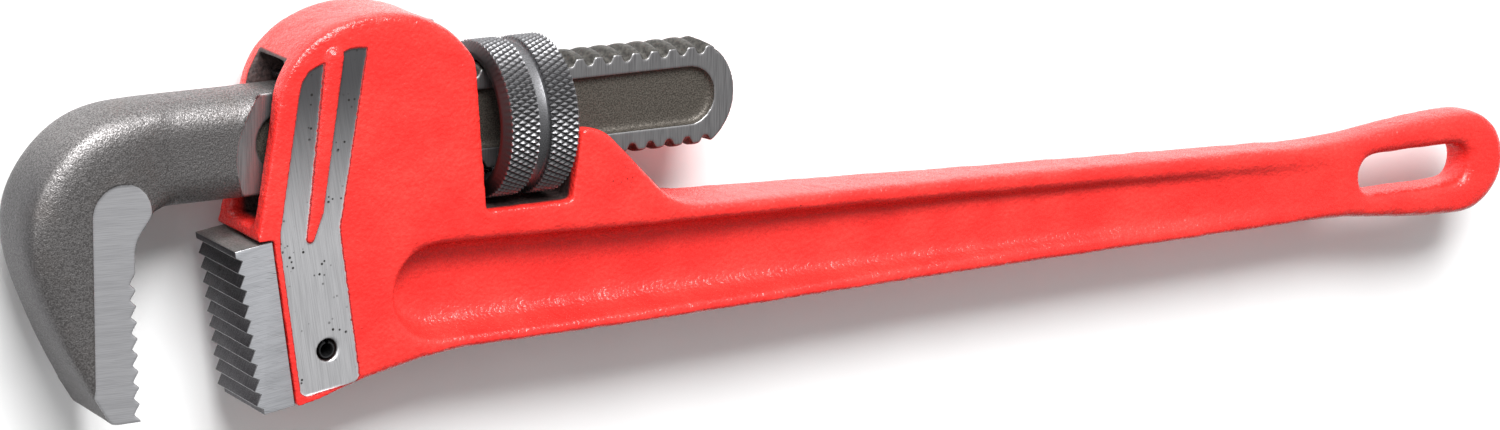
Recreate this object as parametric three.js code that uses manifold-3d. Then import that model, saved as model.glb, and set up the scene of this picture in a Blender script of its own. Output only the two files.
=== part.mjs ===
// Straight-pattern pipe wrench, 18 inch, in millimetres.
//
// It lies on its side: +X runs from the jaws to the end of the handle, +Y from the mouth to the dome of
// the head, and +Z is up, through the thickness. Every size below is given in the wrench's working frame,
// whose origin is the centre of the adjusting nut. The last lines move the wrench so that it stands on
// z = 0 with the middle of its footprint at x = y = 0.

import * as THREE from "three";
import { mergeVertices } from "three/addons/utils/BufferGeometryUtils.js";
import Module from "manifold-3d";

const wasm = await Module();
wasm.setup();

// ---------- driving dimensions ----------

const GAP = 0.3; // left between pieces that touch
const FAR = 200; // longer than any cut has to be
const ARC_STEPS = 16; // segments of each curve
const SIDES = 48; // sides of a full circle
const THREAD_SIDES = 40; // and of a thread
const HOLE_SIDES = 24; // and of a small hole
const LATHE_START = 0.03; // keeps the corners of turned pieces off the corners of threads
const OVERLAP = 1; // by which the parts of one solid run into each other

// adjusting nut
const NUT = {
  radius: 18.5,
  halfWidth: 10,
  chamferWidth: 1.4,
  chamferDepth: 2.4,
  grooveWidth: 3.2,
  grooveDepth: 1.5,
  mouthDepth: 1.2, // plain bore at each end of the thread
};

// external thread of the hook jaw, and the nut's thread that rides on it
const THREAD = {
  pitch: 5,
  crestRadius: 12.9,
  depth: 1.6,
  crestLand: 2.0,
  rootLand: 1.2,
  start: -22,
  crestX: 15.6, // a crest that crosses the top of the shank
  play: 0.25, // between the two threads
};

// hook jaw
const SHANK = {
  rise: 1.1, // how far the nut hangs below the shank's axis, in the slack of the thread
  radius: 12.2,
  halfThickness: 5.5,
  end: 57.9,
  endRadius: 14,
  pocketHalfHeight: 6.9,
  pocketDepth: 1.6,
  pocketEnd: 52.4,
  pocketStart: -66.5,
  runOutX: -56.6,
  runOutY: -1,
  runOutRadius: 16.5,
};
const HOOK = {
  halfThickness: 11,
  armHalfThickness: 9.4,
  armCorner: 7,
  taperFrom: -101,
  taperTo: -90,
  edge: 1.5,
  crownX: -97, // where the straight top of the arm ends
  crownPull: 12.4, // how far the crown's curve keeps to the line of the arm
  backPull: 13, // and to the line of the back
  tipPull: 13.5, // how high above the tip the back turns in
  tipLean: 7.4,
  backX: -123.7, // furthest point of the back
  backY: -13,
  tipY: -57.7,
  tipX: -105.4,
  padX: -108.6,
  padHalfThickness: 10.5,
  padTopX: -101.4,
  padTopY: -10.2,
  padTopRadius: 7.2,
  padThroat: 9, // from the middle of the pad's round top down to the teeth's line
  padThroatPull: 4.5,
  teethX: -97.6,
  teethTopX: -98.4,
  teethTopY: -22.2,
  cornerRadius: 5,
  tipRound: 1.2,
};
const HOOK_TEETH = { count: 9, first: 1.3, pitch: 3.75, depth: 1.5, shortFlank: 1.35 };

// heel jaw, in its own leaning frame: "down" along the seat, "out" towards the mouth
const HEEL = {
  topX: -65.3,
  topY: -20.3,
  leanDeg: 7.9,
  height: 39.2,
  depth: 9.3,
  halfThickness: 10.5,
  tenonDepth: 14.8,
  tenonHalfThickness: 5,
  tenonTop: 9,
  tenonFoot: 4.7, // from the end of the tenon to the foot of the jaw
};
const HEEL_TEETH = { count: 11, pitch: 3.53, depth: 1.5, first: 1.55, shortFlank: 1.0 };
const PIN = { radius: 2.2, wall: 0.75, slit: 1.0, down: 28.3, in: 9.6, halfLength: 10.4 };

// head of the handle casting
const HEAD = {
  halfThickness: 11,
  frontTopX: -63.5,
  frontTopY: 12,
  frontBottomX: -68.4,
  frontLean: 1.3, // how far the front edge leans in
  frontPull: 8.5, // how far the dome's curve keeps to the front edge
  domeX: -38,
  domeY: 29.3,
  domeFrontPull: 15.5, // and to the level of its top, before it
  domeBackPull: 12, // and behind it
  windowTopX: -13.8,
  windowTopY: 14.5,
  windowTopLean: 1.4,
  windowTopPull: 8,
  windowPlay: 1.0,
  windowFloorPlay: 0.8,
  windowRightPlay: 1.4,
  windowRightLean: 1.8,
  cheekTopY: -2.6,
  cheekLength: 6.6,
  cheekCorner: 2.2,
  cheekShoulder: 3, // length and drop of the rounding behind the cheek
  cheekDrop: 3.4,
  slopeBottomX: 35.9,
  slopeBottomY: -19.4,
  shelfThickness: 3,
  shelfLean: 0.6,
  passageSide: 1.0, // between the shank's flats and the walls
  passageBelow: 5.9, // under the arm
  passageAbove: 6.2, // over the arm
  cheekSlotBelow: 2.4, // under the threads, between the cheeks
};

// ground faces on both sides of the head: a flank beside the heel jaw's seat, and above it a band that
// leans with the head and is split by a rounded rib
const GROUND = {
  depth: 0.4,
  fromSeat: 1.7,
  flankWidth: 14.8,
  flankTop: 2,
  flankFoot: 1.6, // from its end to the foot of the jaw
  kneeY: -18.5, // where the band starts
  leftLean: 0.155, // sideways for each millimetre up
  rightLean: 0.17,
  leftTopY: 12.4,
  crownY: 19.2,
  crownX: 4.6, // from the band's left edge to the crown's top
  rightTopY: 21.9,
  rightTopWidth: 5.6,
};
const RIB = [
  { x: -50, y: 20.5, half: 2.35 },
  { x: -54.5, y: -14.5, half: 1.8 },
  { x: -56, y: -20.6, half: 1.1 },
];

// handle
const HANDLE = {
  end: 299.6,
  endRadius: 14,
  endY: -41.2,
  topStartX: 52,
  topStartY: -24.6,
  throatPull: 5,
  neckX: 231,
  neckTopY: -31,
  neckPull: 22, // how far the curves of the end keep to the neck
  bottomY: -51.5,
  bottomStartX: -13,
  bellyPull: 14,
  heelBottomX: -59.7,
  heelBottomY: -59.5,
  heelPull: 18,
  heelRise: 3.6,
  shoulderX: 27.9, // where the head's full thickness ends
  throatHalfThickness: 10.2,
  throatX: 48,
  middleHalfThickness: 7.3,
  middleX: 128,
  neckHalfThickness: 5.8,
};
const WEB = {
  halfThickness: 2.2,
  flange: 3.6,
  flangeTopExtra: 0.8, // the upper flange is this much deeper
  slopeWidth: 5,
  slopeDepth: 5.5,
  startX: -34.4,
  riseX: 60, // from here its floor rises towards the handle's end
  endX: 248,
  endHalfThickness: 5.2,
};
const HANG_SLOT = { length: 36, halfWidth: 5.1, corner: 3.8, centreX: 268.8 };

// springs
const LEAF = {
  rootX: -16,
  tipX: -58,
  halfWidth: 4.6,
  thickness: 1.1,
  rivetX: -21.5,
  flat: 6, // from the rivet to the bend
  sag: 0.6,
  holePlay: 1.5, // length of the hole behind the rivet, in which the leaf shifts
};
const RIVET = {
  radius: 1.9,
  headRadius: 3.6,
  headFlat: 2.5,
  headHeight: 1.0,
  headRim: 0.6,
  headPlay: 1.55, // between the head and the leaf, for the leaf's rocking
  depth: 5,
};
const COIL = { radius: 3.9, wire: 0.6, turns: 5, x: -52.5, pocketDepth: 6.5, pocketPlay: 0.5, sides: 7 };

// ---------- sizes that follow ----------

const armTop = SHANK.rise + SHANK.radius;
const armBottom = SHANK.rise - SHANK.radius;
const crestTop = SHANK.rise + THREAD.crestRadius;
const crestBottom = SHANK.rise - THREAD.crestRadius;
const passageHalf = SHANK.halfThickness + HEAD.passageSide;
const passageFloor = armBottom - HEAD.passageBelow;
const passageRoof = armTop + HEAD.passageAbove;
const windowFloor = -NUT.radius - HEAD.windowFloorPlay;
const windowLeft = -NUT.halfWidth - HEAD.windowPlay;
const windowRight = NUT.halfWidth + HEAD.windowRightPlay;
const cheekX = windowRight + HEAD.windowRightLean;
const tenonBottom = HEEL.height - HEEL.tenonFoot;
const leafTop = passageRoof - 2 * GAP;

// ---------- geometry helpers ----------

// A closed geometry as a solid that can be cut and joined.
function solid(geometry) {
  const bare = geometry.index ? geometry.toNonIndexed() : geometry.clone();
  bare.deleteAttribute("normal");
  bare.deleteAttribute("uv");
  const merged = mergeVertices(bare, 1e-4);
  return new wasm.Manifold(
    new wasm.Mesh({
      numProp: 3,
      vertProperties: merged.getAttribute("position").array,
      triVerts: new Uint32Array(merged.index.array),
    }),
  );
}

function geometryOf(body) {
  const mesh = body.getMesh();
  const geometry = new THREE.BufferGeometry();
  geometry.setAttribute("position", new THREE.BufferAttribute(new Float32Array(mesh.vertProperties), 3));
  geometry.setIndex(new THREE.BufferAttribute(new Uint32Array(mesh.triVerts), 1));
  const faceted = geometry.toNonIndexed();
  faceted.computeVertexNormals();
  return faceted;
}

function outline(points) {
  return new THREE.Shape(points.map(([x, y]) => new THREE.Vector2(x, y)));
}

// A shape in the side view, made solid from z = low to z = high.
function plate(shape, low, high) {
  const geometry = new THREE.ExtrudeGeometry(shape, {
    depth: high - low,
    bevelEnabled: false,
    curveSegments: ARC_STEPS,
  });
  geometry.translate(0, 0, low);
  return solid(geometry);
}

// The same shape through the whole thickness, with its outer edges chamfered.
function chamferedPlate(shape, half, edge) {
  const geometry = new THREE.ExtrudeGeometry(shape, {
    depth: 2 * (half - edge),
    bevelEnabled: true,
    bevelSize: edge,
    bevelThickness: edge,
    bevelOffset: -edge,
    bevelSegments: 2,
    curveSegments: ARC_STEPS,
  });
  geometry.translate(0, 0, edge - half);
  return solid(geometry);
}

function block(x0, x1, y0, y1, z0, z1) {
  const geometry = new THREE.BoxGeometry(x1 - x0, y1 - y0, z1 - z0);
  geometry.translate((x0 + x1) / 2, (y0 + y1) / 2, (z0 + z1) / 2);
  return solid(geometry);
}

// A plan outline (x, z) made solid along Y, symmetric about z = 0: pairs of x and half thickness.
function plan(pairs, y0, y1) {
  const far = pairs.map(([x, half]) => [x, half]);
  const near = [...pairs].reverse().map(([x, half]) => [x, -half]);
  const geometry = new THREE.ExtrudeGeometry(outline([...far, ...near]), {
    depth: y1 - y0,
    bevelEnabled: false,
  });
  geometry.rotateX(Math.PI / 2);
  geometry.translate(0, y1, 0);
  return solid(geometry);
}

// A round bar through the thickness.
function crossBar(x, y, radius, low, high, sides = SIDES) {
  const geometry = new THREE.CylinderGeometry(radius, radius, high - low, sides);
  geometry.rotateX(Math.PI / 2);
  geometry.translate(x, y, (low + high) / 2);
  return solid(geometry);
}

// A solid turned about the X axis, from (x, radius) pairs that start and end on the axis.
function turned(pairs, y = 0) {
  const geometry = new THREE.LatheGeometry(
    pairs.map(([x, radius]) => new THREE.Vector2(radius, x)),
    SIDES,
    LATHE_START,
  );
  geometry.rotateZ(-Math.PI / 2);
  geometry.translate(0, y, 0);
  const made = solid(geometry);
  return made.volume() < 0 ? turned([...pairs].reverse(), y) : made;
}

// A right-hand threaded bar along X. Its surface follows the helix, four lines to each turn: the two edges
// of the crest and the two of the root. The ends are cut square by the caller.
function threadedBar({ rootRadius, crestRadius, crestLand, rootLand, crestX, from, to, y }) {
  const pitch = THREAD.pitch;
  const flank = (pitch - crestLand - rootLand) / 2;
  const lines = [
    [-crestLand / 2, crestRadius],
    [crestLand / 2, crestRadius],
    [crestLand / 2 + flank, rootRadius],
    [crestLand / 2 + flank + rootLand, rootRadius],
  ];
  const firstTurn = Math.floor((from - crestX) / pitch) - 2;
  const turns = Math.ceil((to - from) / pitch) + 4;
  const columns = lines.length * turns;
  const point = (side, column) => {
    const whole = side === THREAD_SIDES ? column + lines.length : column;
    const angle = (2 * Math.PI * (side % THREAD_SIDES)) / THREAD_SIDES;
    const [offset, radius] = lines[whole % lines.length];
    const turn = firstTurn + Math.floor(whole / lines.length);
    const x = crestX + pitch * (turn + (side % THREAD_SIDES) / THREAD_SIDES) + offset;
    return [x, y + radius * Math.cos(angle), radius * Math.sin(angle)];
  };
  const triangles = [];
  for (let side = 0; side < THREAD_SIDES; side += 1) {
    for (let column = 0; column < columns; column += 1) {
      const a = point(side, column);
      const b = point(side + 1, column);
      const c = point(side + 1, column + 1);
      const d = point(side, column + 1);
      triangles.push(a, c, d, a, b, c);
    }
  }
  const lowHub = [point(0, 0)[0], y, 0];
  const highHub = [point(THREAD_SIDES, columns)[0], y, 0];
  for (let side = 0; side < THREAD_SIDES; side += 1) {
    triangles.push(lowHub, point(side + 1, 0), point(side, 0));
    triangles.push(highHub, point(side, columns), point(side + 1, columns));
  }
  for (let step = 0; step < lines.length; step += 1) {
    triangles.push(lowHub, point(0, step), point(0, step + 1));
    triangles.push(highHub, point(0, columns + step + 1), point(0, columns + step));
  }
  const geometry = new THREE.BufferGeometry();
  geometry.setAttribute("position", new THREE.Float32BufferAttribute(triangles.flat(), 3));
  const bar = solid(geometry);
  return bar.intersect(block(from, to, -FAR, FAR, -FAR, FAR));
}

// A round-ended bar shape along X.
function stadium(x0, x1, y, half) {
  const shape = new THREE.Shape();
  shape.moveTo(x0 + half, y - half);
  shape.lineTo(x1 - half, y - half);
  shape.absarc(x1 - half, y, half, -Math.PI / 2, Math.PI / 2, false);
  shape.lineTo(x0 + half, y + half);
  shape.absarc(x0 + half, y, half, Math.PI / 2, (3 * Math.PI) / 2, false);
  return shape;
}

function roundedRectangle(x0, x1, y0, y1, radius) {
  const shape = new THREE.Shape();
  shape.moveTo(x0 + radius, y0);
  shape.absarc(x1 - radius, y0 + radius, radius, -Math.PI / 2, 0, false);
  shape.absarc(x1 - radius, y1 - radius, radius, 0, Math.PI / 2, false);
  shape.absarc(x0 + radius, y1 - radius, radius, Math.PI / 2, Math.PI, false);
  shape.absarc(x0 + radius, y0 + radius, radius, Math.PI, (3 * Math.PI) / 2, false);
  return shape;
}

// Both side faces' copies of a cut that reaches in from the outside to z = depth.
function bothSides(shape, depth) {
  return plate(shape, depth, FAR).add(plate(shape, -FAR, -depth));
}

// ---------- adjusting nut ----------

function makeNut() {
  const { radius, halfWidth, chamferWidth, chamferDepth, grooveWidth, grooveDepth, mouthDepth } = NUT;
  const rim = halfWidth - chamferWidth;
  const wall = grooveWidth / 2;
  const body = turned([
    [-halfWidth, 0],
    [-halfWidth, radius - chamferDepth],
    [-rim, radius],
    [-wall, radius],
    [-wall, radius - grooveDepth],
    [wall, radius - grooveDepth],
    [wall, radius],
    [rim, radius],
    [halfWidth, radius - chamferDepth],
    [halfWidth, 0],
  ]);
  const tap = threadedBar({
    rootRadius: SHANK.rise + THREAD.crestRadius - THREAD.depth + THREAD.play,
    crestRadius: crestTop + THREAD.play,
    crestLand: THREAD.crestLand + 2 * THREAD.play,
    rootLand: THREAD.rootLand - 2 * THREAD.play,
    crestX: THREAD.crestX,
    from: -halfWidth - GAP,
    to: halfWidth + GAP,
    y: 0,
  });
  const mouthRadius = crestTop + 2 * THREAD.play;
  const mouth = turned([
    [halfWidth - mouthDepth, 0],
    [halfWidth - mouthDepth, mouthRadius],
    [halfWidth + GAP, mouthRadius],
    [halfWidth + GAP, 0],
  ]);
  return body.subtract(tap).subtract(mouth).subtract(mouth.mirror([1, 0, 0]));
}

// ---------- hook jaw ----------

function hookOutline() {
  const { crownX, backX, backY, tipX, tipY, teethX, teethTopX, teethTopY, cornerRadius } = HOOK;
  const { crownPull, backPull, tipPull, tipLean, tipRound } = HOOK;
  const shape = new THREE.Shape();
  shape.moveTo(SHANK.runOutX, armTop);
  shape.lineTo(crownX, armTop);
  shape.bezierCurveTo(crownX - crownPull, armTop, backX, backY + backPull, backX, backY);
  shape.bezierCurveTo(backX, backY - backPull, tipX - tipLean, tipY + tipPull, tipX, tipY + tipRound);
  shape.quadraticCurveTo(tipX + tipRound / 2, tipY, tipX + 2 * tipRound, tipY);
  shape.lineTo(teethX, tipY);
  shape.lineTo(teethTopX, teethTopY);
  shape.lineTo(teethTopX, armBottom - cornerRadius);
  shape.quadraticCurveTo(teethTopX, armBottom, teethTopX + cornerRadius, armBottom);
  shape.lineTo(SHANK.runOutX, armBottom);
  return shape;
}

// The milled pad beside the teeth, round at its top.
function padOutline() {
  const { padX, padTopX, padTopY, padTopRadius, padThroat, padThroatPull } = HOOK;
  const { tipY, teethX, teethTopX, teethTopY } = HOOK;
  const padRight = padTopX + padTopRadius;
  const shape = new THREE.Shape();
  shape.moveTo(padX, tipY);
  shape.lineTo(teethX, tipY);
  shape.lineTo(teethTopX, teethTopY);
  shape.lineTo(teethTopX, padTopY - padThroat);
  shape.bezierCurveTo(
    teethTopX,
    padTopY - padThroat + padThroatPull,
    padRight,
    padTopY - padThroatPull / 2,
    padRight,
    padTopY,
  );
  shape.absarc(padTopX, padTopY, padTopRadius, 0, Math.PI, false);
  shape.lineTo(padX, padTopY - padThroatPull);
  return shape;
}

// The gaps between the hook jaw's teeth, each with a short flank over the tip below it.
function hookToothGaps() {
  const { count, first, pitch, depth, shortFlank } = HOOK_TEETH;
  const { teethX, teethTopX, teethTopY, tipY } = HOOK;
  const lean = (teethX - teethTopX) / (teethTopY - tipY);
  const gaps = [];
  for (let index = 0; index < count; index += 1) {
    const top = teethTopY - first - index * pitch;
    const face = (y) => teethTopX + lean * (teethTopY - y);
    const valley = top - (pitch - shortFlank);
    const bottom = top - pitch;
    gaps.push(
      outline([
        [face(top), top],
        [face(valley) - depth, valley],
        [face(bottom), bottom],
        [face(bottom) + depth, bottom],
        [face(top) + depth, top],
      ]),
    );
  }
  return gaps.map((shape) => plate(shape, -FAR, FAR)).reduce((all, gap) => all.add(gap));
}

// Everything outside the two milled flats of the shank, from the run-out of the cutter to the shank's end.
function shankFlats() {
  const { runOutX, runOutY, runOutRadius, halfThickness } = SHANK;
  const shape = new THREE.Shape();
  shape.moveTo(runOutX, -FAR);
  shape.lineTo(FAR, -FAR);
  shape.lineTo(FAR, FAR);
  shape.lineTo(runOutX, FAR);
  const round = crossBar(runOutX, runOutY, runOutRadius, -FAR, FAR);
  const slab = block(-FAR, FAR, -FAR, FAR, -halfThickness, halfThickness);
  return plate(shape, -FAR, FAR).add(round).subtract(slab);
}

function makeShank() {
  const { radius, rise, end, endRadius } = SHANK;
  const plain = turned(
    [
      [SHANK.runOutX - OVERLAP, 0],
      [SHANK.runOutX - OVERLAP, radius],
      [THREAD.start + OVERLAP, radius],
      [THREAD.start + OVERLAP, 0],
    ],
    rise,
  );
  const threaded = threadedBar({
    rootRadius: THREAD.crestRadius - THREAD.depth,
    crestRadius: THREAD.crestRadius,
    crestLand: THREAD.crestLand,
    rootLand: THREAD.rootLand,
    crestX: THREAD.crestX,
    from: THREAD.start,
    to: end,
    y: rise,
  });
  const centre = end - endRadius;
  const roundEnd = crossBar(centre, rise, endRadius, -FAR, FAR);
  const limit = block(-FAR, centre, -FAR, FAR, -FAR, FAR).add(roundEnd);
  return plain.add(threaded.intersect(limit));
}

// A bar along X with rounded corners, in section from z = -half to half and from y0 to y1.
function roundedBar(x0, x1, half, y0, y1, corner) {
  const geometry = new THREE.ExtrudeGeometry(roundedRectangle(-half, half, y0, y1, corner), {
    depth: x1 - x0,
    bevelEnabled: false,
    curveSegments: ARC_STEPS,
  });
  geometry.rotateY(Math.PI / 2);
  geometry.translate(x0, 0, 0);
  return solid(geometry);
}

// The space that the forging fills in plan and in section: the arm's corners are round all along it, and
// those of its top run on over the crown of the hook.
function forgingSpace() {
  const { backX, edge, halfThickness, armHalfThickness, armCorner, taperFrom, taperTo } = HOOK;
  const seenFromAbove = plan(
    [
      [backX - edge, halfThickness],
      [taperFrom, halfThickness],
      [taperTo, armHalfThickness],
      [FAR, armHalfThickness],
    ],
    -FAR,
    FAR,
  );
  const arm = roundedBar(taperTo, FAR, armHalfThickness, armBottom, armTop, armCorner);
  const hook = roundedBar(-FAR, taperTo, halfThickness, -FAR, armTop, armCorner);
  return seenFromAbove.intersect(arm.add(hook));
}

function makeHookJaw() {
  const { halfThickness, edge, padHalfThickness, teethTopY } = HOOK;
  const forging = chamferedPlate(hookOutline(), halfThickness, edge).intersect(forgingSpace());
  const besideTeeth = plate(hookOutline(), -FAR, FAR);
  const aboveTeeth = block(-FAR, FAR, teethTopY, FAR, -FAR, FAR);
  const pad = plate(padOutline(), -padHalfThickness, padHalfThickness).intersect(
    besideTeeth.add(aboveTeeth),
  );
  const milledPad = bothSides(padOutline(), padHalfThickness);
  const { pocketStart, pocketEnd, pocketHalfHeight, pocketDepth, rise } = SHANK;
  const pocket = bothSides(
    stadium(pocketStart, pocketEnd, rise, pocketHalfHeight),
    SHANK.halfThickness - pocketDepth,
  );
  return forging
    .subtract(milledPad)
    .add(pad)
    .subtract(hookToothGaps())
    .add(makeShank())
    .subtract(shankFlats())
    .subtract(pocket);
}

// ---------- heel jaw and its pin ----------

const heelLean = THREE.MathUtils.degToRad(HEEL.leanDeg);

// A place given down the seat and out towards the mouth, in the working frame.
function heelPoint(down, out) {
  return [
    HEEL.topX + down * Math.sin(heelLean) - out * Math.cos(heelLean),
    HEEL.topY - down * Math.cos(heelLean) - out * Math.sin(heelLean),
  ];
}

function heelRectangle(down0, down1, out0, out1) {
  return outline([
    heelPoint(down0, out0),
    heelPoint(down1, out0),
    heelPoint(down1, out1),
    heelPoint(down0, out1),
  ]);
}

function heelOutline() {
  const { count, pitch, depth, first, shortFlank } = HEEL_TEETH;
  const points = [heelPoint(0, 0), heelPoint(0, HEEL.depth)];
  for (let index = 0; index < count; index += 1) {
    const tip = first + index * pitch;
    points.push(heelPoint(tip, HEEL.depth));
    points.push(heelPoint(tip + shortFlank, HEEL.depth - depth));
  }
  points.push(heelPoint(HEEL.height, HEEL.depth - depth));
  points.push(heelPoint(HEEL.height, 0));
  return outline(points);
}

function makeHeelJaw() {
  const { halfThickness, tenonDepth, tenonHalfThickness, tenonTop } = HEEL;
  const toothed = plate(heelOutline(), -halfThickness, halfThickness);
  const tenon = plate(
    heelRectangle(tenonTop, tenonBottom, OVERLAP, -tenonDepth),
    -tenonHalfThickness,
    tenonHalfThickness,
  );
  const [x, y] = heelPoint(PIN.down, -PIN.in);
  const hole = crossBar(x, y, PIN.radius + GAP, -FAR, FAR);
  return toothed.add(tenon).subtract(hole);
}

// A rolled spring pin: a tube with a slit along it.
function makeHeelPin() {
  const { radius, wall, slit, down, in: inward, halfLength } = PIN;
  const [x, y] = heelPoint(down, -inward);
  const bore = crossBar(x, y, radius - wall, -FAR, FAR);
  const gap = block(x - slit / 2, x + slit / 2, y, y + 2 * radius, -FAR, FAR);
  return crossBar(x, y, radius, -halfLength, halfLength).subtract(bore).subtract(gap);
}

// ---------- handle and head ----------

function headOutline(shape) {
  const { frontTopX, frontTopY, frontLean, frontPull, frontBottomX } = HEAD;
  const { domeX, domeY, domeFrontPull, domeBackPull } = HEAD;
  const { windowTopX, windowTopY, windowTopLean, windowTopPull } = HEAD;
  shape.moveTo(frontBottomX, passageFloor);
  shape.lineTo(frontTopX, frontTopY);
  shape.bezierCurveTo(
    frontTopX + frontLean,
    frontTopY + frontPull,
    domeX - domeFrontPull,
    domeY,
    domeX,
    domeY,
  );
  shape.bezierCurveTo(
    domeX + domeBackPull,
    domeY,
    windowTopX - windowTopLean,
    windowTopY + windowTopPull,
    windowTopX,
    windowTopY,
  );
  shape.lineTo(windowLeft, windowFloor);
  shape.lineTo(windowRight, windowFloor);
}

// The lobe behind the nut, and the slope from it down to the handle.
function cheekOutline(shape) {
  const { cheekTopY, cheekLength, cheekCorner, cheekShoulder, cheekDrop } = HEAD;
  const { slopeBottomX, slopeBottomY } = HEAD;
  const { topStartX, topStartY, throatPull } = HANDLE;
  const shoulder = cheekX + cheekLength;
  shape.lineTo(cheekX, cheekTopY - cheekCorner);
  shape.quadraticCurveTo(cheekX, cheekTopY, cheekX + cheekCorner, cheekTopY);
  shape.quadraticCurveTo(shoulder, cheekTopY, shoulder + cheekShoulder, cheekTopY - cheekDrop);
  shape.lineTo(slopeBottomX, slopeBottomY);
  shape.quadraticCurveTo(slopeBottomX + throatPull, topStartY, topStartX, topStartY);
}

function handleOutline(shape) {
  const { end, endRadius, endY, neckX, neckTopY, neckPull } = HANDLE;
  const { bottomY, bottomStartX, bellyPull, heelBottomX, heelBottomY, heelPull, heelRise } = HANDLE;
  const centre = end - endRadius;
  const top = endY + endRadius;
  const bottom = endY - endRadius;
  shape.lineTo(neckX, neckTopY);
  shape.bezierCurveTo(neckX + neckPull, neckTopY, centre - neckPull, top, centre, top);
  shape.absarc(centre, endY, endRadius, Math.PI / 2, -Math.PI / 2, true);
  shape.bezierCurveTo(centre - neckPull, bottom, neckX + neckPull, bottomY, neckX, bottomY);
  shape.lineTo(bottomStartX, bottomY);
  shape.bezierCurveTo(
    bottomStartX - bellyPull,
    bottomY,
    heelBottomX + heelPull,
    heelBottomY + heelRise,
    heelBottomX,
    heelBottomY,
  );
}

// The heel jaw's seat, and the shelf over it under the hook jaw's arm.
function seatOutline(shape) {
  const shelf = passageFloor - HEAD.shelfThickness;
  shape.lineTo(...heelPoint(HEEL.height, -GAP));
  shape.lineTo(...heelPoint(HEEL.topY - shelf, -GAP));
  shape.lineTo(HEAD.frontBottomX - HEAD.shelfLean, shelf);
}

function bodyOutline() {
  const shape = new THREE.Shape();
  headOutline(shape);
  cheekOutline(shape);
  handleOutline(shape);
  seatOutline(shape);
  return shape;
}

// The plan view: full thickness at the head, then the handle narrows to its end.
function bodyPlan() {
  return plan(
    [
      [-FAR, HEAD.halfThickness],
      [HANDLE.shoulderX, HEAD.halfThickness],
      [HANDLE.throatX, HANDLE.throatHalfThickness],
      [HANDLE.middleX, HANDLE.middleHalfThickness],
      [HANDLE.neckX, HANDLE.neckHalfThickness],
      [2 * FAR, HANDLE.neckHalfThickness],
    ],
    -FAR,
    FAR,
  );
}

// The long pocket on each side that leaves the handle an I-beam. Its floor is inset by its sloping sides,
// and rises until the pocket fades out at the hanging slot.
function webPocket() {
  const { startX, riseX, endX, flange, flangeTopExtra, halfThickness, endHalfThickness } = WEB;
  const { slopeWidth, slopeDepth } = WEB;
  const bottom = HANDLE.bottomY + flange;
  const top = (x) => {
    const along = (x - HANDLE.topStartX) / (HANDLE.neckX - HANDLE.topStartX);
    const edge = HANDLE.topStartY + along * (HANDLE.neckTopY - HANDLE.topStartY);
    return edge - flange - flangeTopExtra;
  };
  const round = (top(startX) - bottom) / 2;
  const endRound = (top(endX) - bottom) / 2;
  const shape = new THREE.Shape();
  shape.moveTo(startX + round, bottom);
  shape.lineTo(endX - endRound, bottom);
  shape.absarc(endX - endRound, bottom + endRound, endRound, -Math.PI / 2, Math.PI / 2, false);
  shape.lineTo(startX + round, bottom + 2 * round);
  shape.absarc(startX + round, bottom + round, round, Math.PI / 2, (3 * Math.PI) / 2, false);
  const geometry = new THREE.ExtrudeGeometry(shape, {
    depth: FAR,
    bevelEnabled: true,
    bevelThickness: slopeDepth,
    bevelSize: slopeWidth,
    bevelOffset: -slopeWidth,
    bevelSegments: 3,
    curveSegments: ARC_STEPS / 2,
  });
  geometry.translate(0, 0, halfThickness + slopeDepth);
  const web = plan(
    [
      [-FAR, halfThickness],
      [riseX, halfThickness],
      [endX, endHalfThickness],
      [2 * FAR, endHalfThickness],
    ],
    -FAR,
    FAR,
  );
  const upper = solid(geometry);
  return upper.add(upper.mirror([0, 0, 1])).subtract(web);
}

// The rounded rib between the ground strips, seen from the side. It narrows to its foot, mostly in its
// last part.
function ribOutline() {
  const [top, knee, foot] = RIB;
  const lean = Math.atan2(top.y - knee.y, top.x - knee.x);
  const footLean = Math.atan2(knee.y - foot.y, knee.x - foot.x);
  const shape = new THREE.Shape();
  shape.absarc(top.x, top.y, top.half, lean - Math.PI / 2, lean + Math.PI / 2, false);
  shape.lineTo(knee.x - knee.half * Math.sin(lean), knee.y + knee.half * Math.cos(lean));
  shape.absarc(foot.x, foot.y, foot.half, footLean + Math.PI / 2, footLean + (3 * Math.PI) / 2, false);
  shape.lineTo(knee.x + knee.half * Math.sin(lean), knee.y - knee.half * Math.cos(lean));
  return shape;
}

// The leaning band above the seat flank, whose left strip has a rounded crown.
function bandOutline() {
  const { fromSeat, flankWidth, flankTop, kneeY, leftLean, rightLean } = GROUND;
  const { leftTopY, crownY, crownX, rightTopY, rightTopWidth } = GROUND;
  const footLeft = heelPoint(flankTop, -fromSeat);
  const footRight = heelPoint(flankTop, -fromSeat - flankWidth);
  const left = (y) => footLeft[0] + leftLean * (y - kneeY);
  const right = (y) => footRight[0] + rightLean * (y - kneeY);
  const shape = new THREE.Shape();
  shape.moveTo(...footLeft);
  shape.lineTo(left(kneeY), kneeY);
  shape.lineTo(left(leftTopY), leftTopY);
  shape.quadraticCurveTo(left(crownY), crownY - 1, left(crownY) + crownX, crownY);
  shape.lineTo(right(rightTopY) - rightTopWidth, rightTopY);
  shape.lineTo(right(rightTopY), rightTopY);
  shape.lineTo(right(kneeY), kneeY);
  shape.lineTo(...footRight);
  return shape;
}

function groundFlats() {
  const { depth, fromSeat, flankWidth, flankTop, flankFoot } = GROUND;
  const level = HEAD.halfThickness - depth;
  const flank = heelRectangle(flankTop, HEEL.height - flankFoot, -fromSeat, -fromSeat - flankWidth);
  return bothSides(flank, level)
    .add(bothSides(bandOutline(), level))
    .subtract(bothSides(ribOutline(), level));
}

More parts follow.
